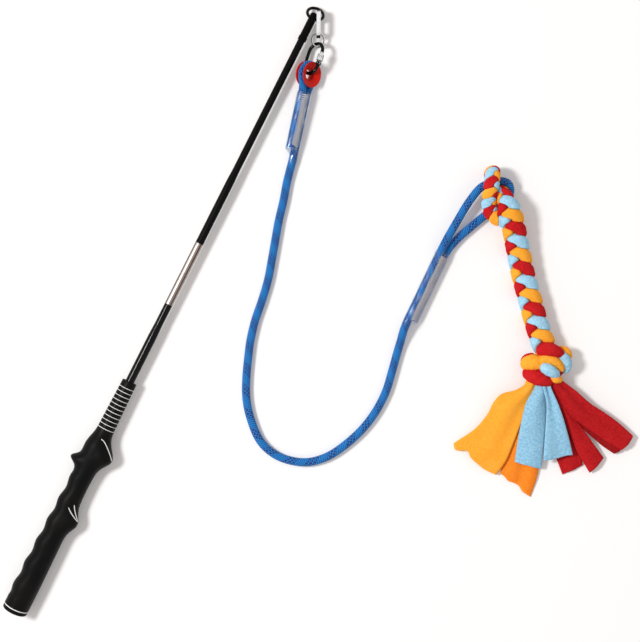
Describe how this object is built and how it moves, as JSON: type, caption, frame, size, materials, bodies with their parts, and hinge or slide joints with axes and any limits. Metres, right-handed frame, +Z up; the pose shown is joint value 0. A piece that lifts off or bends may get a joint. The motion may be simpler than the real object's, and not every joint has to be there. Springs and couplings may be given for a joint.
{
  "type": "dog flirt pole",
  "caption": "Dog flirt pole: take-apart pole with a moulded grip, links at the tip, a rope with sewn eyes and a plaited fleece tug toy",
  "frame": {"origin": "centre of the butt cap's end face, on the pole's axis", "axes": "+Y runs along the pole from butt to tip, +X points to the side where the rope lies, +Z points up from the floor"},
  "size_m": [0.5201, 0.715, 0.0345],
  "materials": {
    "grip_rubber": "satin",
    "white_rubber": "matte",
    "gloss_black": "gloss",
    "satin_black": "satin",
    "bright_ferrule": "polished",
    "steel": "satin",
    "black_plastic": "satin",
    "black_enamel": "gloss",
    "bright_nickel": "polished",
    "red_plastic": "gloss",
    "blue_rope": "matte",
    "pale_thread": "matte",
    "clear_sleeve": "gloss",
    "orange_fleece": "matte",
    "red_fleece": "matte",
    "blue_fleece": "matte"
  },
  "bodies": {
    "lower_pole": {"grip_sleeve": "grip_rubber", "grip_stripes": "white_rubber", "grip_marks": "white_rubber", "butt_cap": "grip_rubber", "butt_line": "white_rubber", "lower_shaft": "gloss_black", "lower_ferrule": "bright_ferrule"},
    "upper_pole": {"joint_spigot": "steel", "upper_ferrule": "bright_ferrule", "upper_shaft": "satin_black", "tip_cap": "black_plastic"},
    "ring": {"tip_ring": "black_enamel"},
    "clip": {"clip_body": "bright_nickel", "clip_pin": "steel"},
    "clip_gate": {"clip_gate": "bright_nickel", "clip_spring": "steel"},
    "split": {"split_ring": "bright_nickel"},
    "link": {"link_body": "black_enamel", "link_pin": "steel"},
    "link_gate": {"link_gate": "steel", "link_spring": "steel"},
    "lock": {"link_sleeve": "steel"},
    "rope": {"thimble": "red_plastic", "rope_upper_eye": "blue_rope", "rope_main": "blue_rope", "rope_lower_eye": "blue_rope", "upper_stitching": "pale_thread", "lower_stitching": "pale_thread", "upper_sleeve": "clear_sleeve", "lower_sleeve": "clear_sleeve"},
    "toy": {"toy_loop": "orange_fleece", "toy_strand_orange": "orange_fleece", "toy_strand_red": "red_fleece", "toy_strand_blue": "blue_fleece", "toy_knot": "red_fleece", "orange_tail_1": "orange_fleece", "orange_tail_2": "orange_fleece", "blue_tail_1": "blue_fleece", "blue_tail_2": "blue_fleece", "red_tail_1": "red_fleece", "red_tail_2": "red_fleece", "red_tail_3": "red_fleece"}
  },
  "joints": [
    {"name": "pole_joint", "type": "slide", "parent": "lower_pole", "child": "upper_pole", "axis": [0, 1, 0], "range_m": [0, 0.016]},
    {"name": "ring_swing", "type": "hinge", "parent": "upper_pole", "child": "ring", "pos_m": [0, 0.6998, 0], "axis": [1, 0, 0], "range_deg": [-30, 80]},
    {"name": "clip_swing", "type": "hinge", "parent": "ring", "child": "clip", "pos_m": [0.00636, 0.7016, -0.00131], "axis": [0.682, 0.5917, -0.4299], "range_deg": [0, 60]},
    {"name": "clip_gate_turn", "type": "hinge", "parent": "clip", "child": "clip_gate", "pos_m": [0.00544, 0.70349, -0.00671], "axis": [-0.8988, -0.4384, 0], "range_deg": [0, 20], "stiffness_Nm_per_rad": 0.01, "springref_deg": -11.46},
    {"name": "split_ring_swing", "type": "hinge", "parent": "clip", "child": "split", "pos_m": [0.0125, 0.68902, -0.00241], "axis": [-0.8503, -0.3987, 0.3435], "range_deg": [-25, 25]},
    {"name": "link_swing", "type": "hinge", "parent": "split", "child": "link", "pos_m": [0.01715, 0.67926, -0.00241], "axis": [0.7238, 0.1807, 0.6659], "range_deg": [-12, 45]},
    {"name": "link_gate_turn", "type": "hinge", "parent": "link", "child": "link_gate", "pos_m": [0.02729, 0.65941, 0.00592], "axis": [-0.6722, -0.033, 0.7396], "range_deg": [0, 20], "stiffness_Nm_per_rad": 0.02, "springref_deg": -11.46},
    {"name": "lock_slide", "type": "slide", "parent": "link_gate", "child": "lock", "axis": [-0.1557, 0.983, -0.0976], "range_m": [0, 0.002]},
    {"name": "rope_swing", "type": "hinge", "parent": "link", "child": "rope", "pos_m": [0.02264, 0.64516, 0.00089], "axis": [0.7288, 0.1499, 0.6681], "range_deg": [-40, 40]},
    {"name": "toy_swing", "type": "hinge", "parent": "rope", "child": "toy", "pos_m": [0.24564, 0.62867, 0.0035], "axis": [-0.722, -0.6919, 0], "range_deg": [0, 60]}
  ]
}
